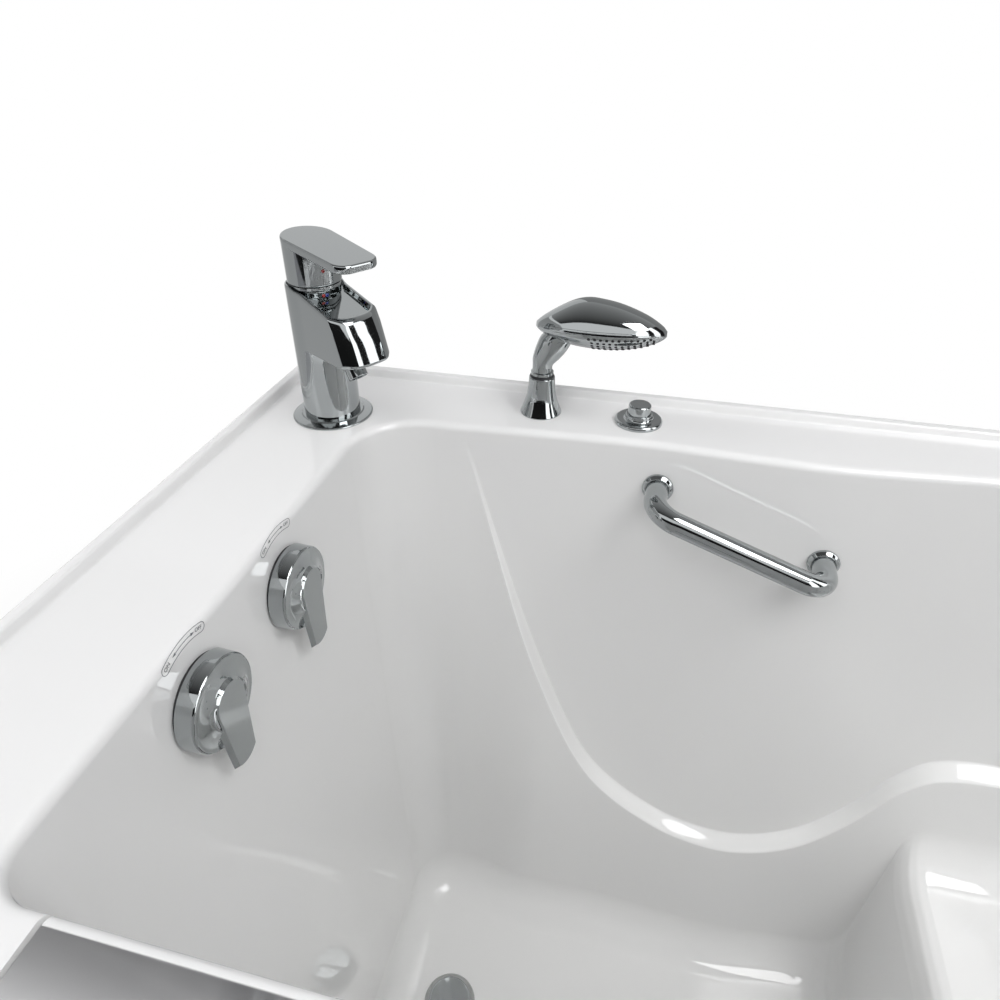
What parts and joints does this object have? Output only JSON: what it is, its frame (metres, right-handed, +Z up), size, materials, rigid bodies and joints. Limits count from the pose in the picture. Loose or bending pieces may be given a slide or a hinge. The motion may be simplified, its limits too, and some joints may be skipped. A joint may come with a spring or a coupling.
{
  "type": "walk-in bathtub with door",
  "caption": "Deep moulded bathtub with a built-in seat, an outward-swinging side door with a rack latch, deck mixer, hand shower, grab bar and knob-worked drains",
  "frame": {"origin": "on the floor, under the middle of the tub's rim", "axes": "+X from the foot end to the seat end, +Y from the door to the back wall, +Z up"},
  "size_m": [1.321, 0.762, 1.2002],
  "materials": {
    "white_acrylic": "high gloss",
    "polished_chrome": "mirror polished",
    "stainless_steel": "brushed",
    "black_rubber": "matt",
    "dark_plastic": "matt",
    "pipe_plastic": "satin"
  },
  "bodies": {
    "tub": {"tub_shell": "white_acrylic", "base_frame": "stainless_steel", "levelling_feet": "black_rubber", "foot_lock_nuts": "stainless_steel", "front_panel": "white_acrylic", "left_end_panel": "white_acrylic", "right_end_panel": "white_acrylic", "panel_screws": "polished_chrome", "door_frame": "white_acrylic", "door_seal": "black_rubber", "hinge_fixed_leaves": "stainless_steel", "hinge_pins": "stainless_steel", "latch_keepers": "stainless_steel", "faucet_flange": "polished_chrome", "faucet_body": "polished_chrome", "supply_tails": "stainless_steel", "deck_lock_nuts": "stainless_steel", "shower_holder": "polished_chrome", "button_base": "polished_chrome", "air_bellows": "dark_plastic", "air_switch_tube": "black_rubber", "grab_bar": "polished_chrome", "grab_bar_flanges": "polished_chrome", "wall_lock_nuts": "stainless_steel", "knob_gaskets": "dark_plastic", "knob_bearings": "dark_plastic", "drain_cables": "black_rubber", "drain_bodies": "stainless_steel", "jet_housings": "dark_plastic", "jet_manifold": "pipe_plastic", "suction_body": "pipe_plastic", "suction_cover": "white_acrylic", "suction_pipe": "pipe_plastic", "pump_housing": "dark_plastic", "pump_motor": "stainless_steel", "pump_base": "stainless_steel"},
    "door": {"door_shell": "white_acrylic", "door_skin": "white_acrylic", "door_cap": "white_acrylic", "hinge_door_leaves": "stainless_steel", "latch_guides": "stainless_steel"},
    "latch_handle": {"latch_lever": "polished_chrome", "latch_pinion": "stainless_steel"},
    "latch_slide": {"latch_bar": "stainless_steel"},
    "mixer_collar": {"faucet_collar": "polished_chrome"},
    "mixer_lever": {"faucet_lever": "polished_chrome"},
    "aerator": {"faucet_aerator": "polished_chrome"},
    "shower_sleeve": {"holder_insert": "dark_plastic"},
    "hand_shower": {"shower_handset": "polished_chrome", "shower_spray_face": "dark_plastic"},
    "air_button": {"button_cap": "polished_chrome"},
    "knob_near": {"drain_knob_near": "polished_chrome"},
    "knob_far": {"drain_knob_far": "polished_chrome"},
    "stopper_near": {"drain_stopper_near": "polished_chrome"},
    "stopper_far": {"drain_stopper_far": "polished_chrome"},
    "nozzle_1": {"jet_nozzle_1": "black_rubber"},
    "nozzle_2": {"jet_nozzle_2": "black_rubber"},
    "nozzle_3": {"jet_nozzle_3": "black_rubber"},
    "nozzle_4": {"jet_nozzle_4": "black_rubber"}
  },
  "joints": [
    {"name": "door_swing", "type": "hinge", "parent": "tub", "child": "door", "pos_m": [-0.478, -0.376, 0.5], "axis": [0, 0, -1], "range_deg": [0, 95]},
    {"name": "latch_turn", "type": "hinge", "parent": "door", "child": "latch_handle", "pos_m": [-0.082, -0.358, 0.62], "axis": [0, -1, 0], "range_deg": [0, 90]},
    {"name": "latch_lift", "type": "slide", "parent": "door", "child": "latch_slide", "axis": [0, 0, 1], "range_m": [0, 0.0181]},
    {"name": "mixer_turn", "type": "hinge", "parent": "tub", "child": "mixer_collar", "pos_m": [-0.5685, 0.264, 1.15], "axis": [0, 0, 1], "range_deg": [-45, 45]},
    {"name": "lever_lift", "type": "hinge", "parent": "mixer_collar", "child": "mixer_lever", "pos_m": [-0.58207, 0.27248, 1.1584], "axis": [-0.5299, -0.848, 0], "range_deg": [0, 15]},
    {"name": "aerator_tilt", "type": "hinge", "parent": "tub", "child": "aerator", "pos_m": [-0.53203, 0.24121, 1.089], "axis": [0.5299, 0.848, 0], "range_deg": [-8, 8]},
    {"name": "sleeve_turn", "type": "hinge", "parent": "tub", "child": "shower_sleeve", "pos_m": [-0.3385, 0.324, 1.02], "axis": [0, 0, 1], "range_deg": [-40, 90]},
    {"name": "hand_shower_lift", "type": "slide", "parent": "shower_sleeve", "child": "hand_shower", "axis": [0, 0, 1], "range_m": [0, 0.06]},
    {"name": "button_press", "type": "slide", "parent": "tub", "child": "air_button", "axis": [0, 0, -1], "range_m": [0, 0.004], "stiffness_N_per_m": 600, "springref_m": -0.004},
    {"name": "knob_near_turn", "type": "hinge", "parent": "tub", "child": "knob_near", "pos_m": [-0.5, -0.0995, 0.9385], "axis": [1, 0, 0], "range_deg": [0, 90]},
    {"name": "stopper_near_lift", "type": "slide", "parent": "tub", "child": "stopper_near", "axis": [0, 0, 1], "range_m": [0, 0.0101]},
    {"name": "knob_far_turn", "type": "hinge", "parent": "tub", "child": "knob_far", "pos_m": [-0.5, 0.039, 0.9385], "axis": [1, 0, 0], "range_deg": [0, 90]},
    {"name": "stopper_far_lift", "type": "slide", "parent": "tub", "child": "stopper_far", "axis": [0, 0, 1], "range_m": [0, 0.0101]},
    {"name": "nozzle_1_turn", "type": "hinge", "parent": "tub", "child": "nozzle_1", "pos_m": [0.2715, 0.27221, 0.632], "axis": [0, -0.9994, 0.0349], "continuous": true},
    {"name": "nozzle_2_turn", "type": "hinge", "parent": "tub", "child": "nozzle_2", "pos_m": [0.3515, 0.27263, 0.632], "axis": [0, -0.9994, 0.0349], "continuous": true},
    {"name": "nozzle_3_turn", "type": "hinge", "parent": "tub", "child": "nozzle_3", "pos_m": [0.4819, 0.07, 0.632], "axis": [-0.9903, 0, 0.1392], "continuous": true},
    {"name": "nozzle_4_turn", "type": "hinge", "parent": "tub", "child": "nozzle_4", "pos_m": [0.4819, -0.09, 0.632], "axis": [-0.9903, 0, 0.1392], "continuous": true}
  ],
  "couplings": [
    {"joint": "latch_lift", "follows": "latch_turn", "m_per_rad": 0.011459},
    {"joint": "stopper_near_lift", "follows": "knob_near_turn", "m_per_rad": 0.0063662},
    {"joint": "stopper_far_lift", "follows": "knob_far_turn", "m_per_rad": 0.0063662}
  ]
}
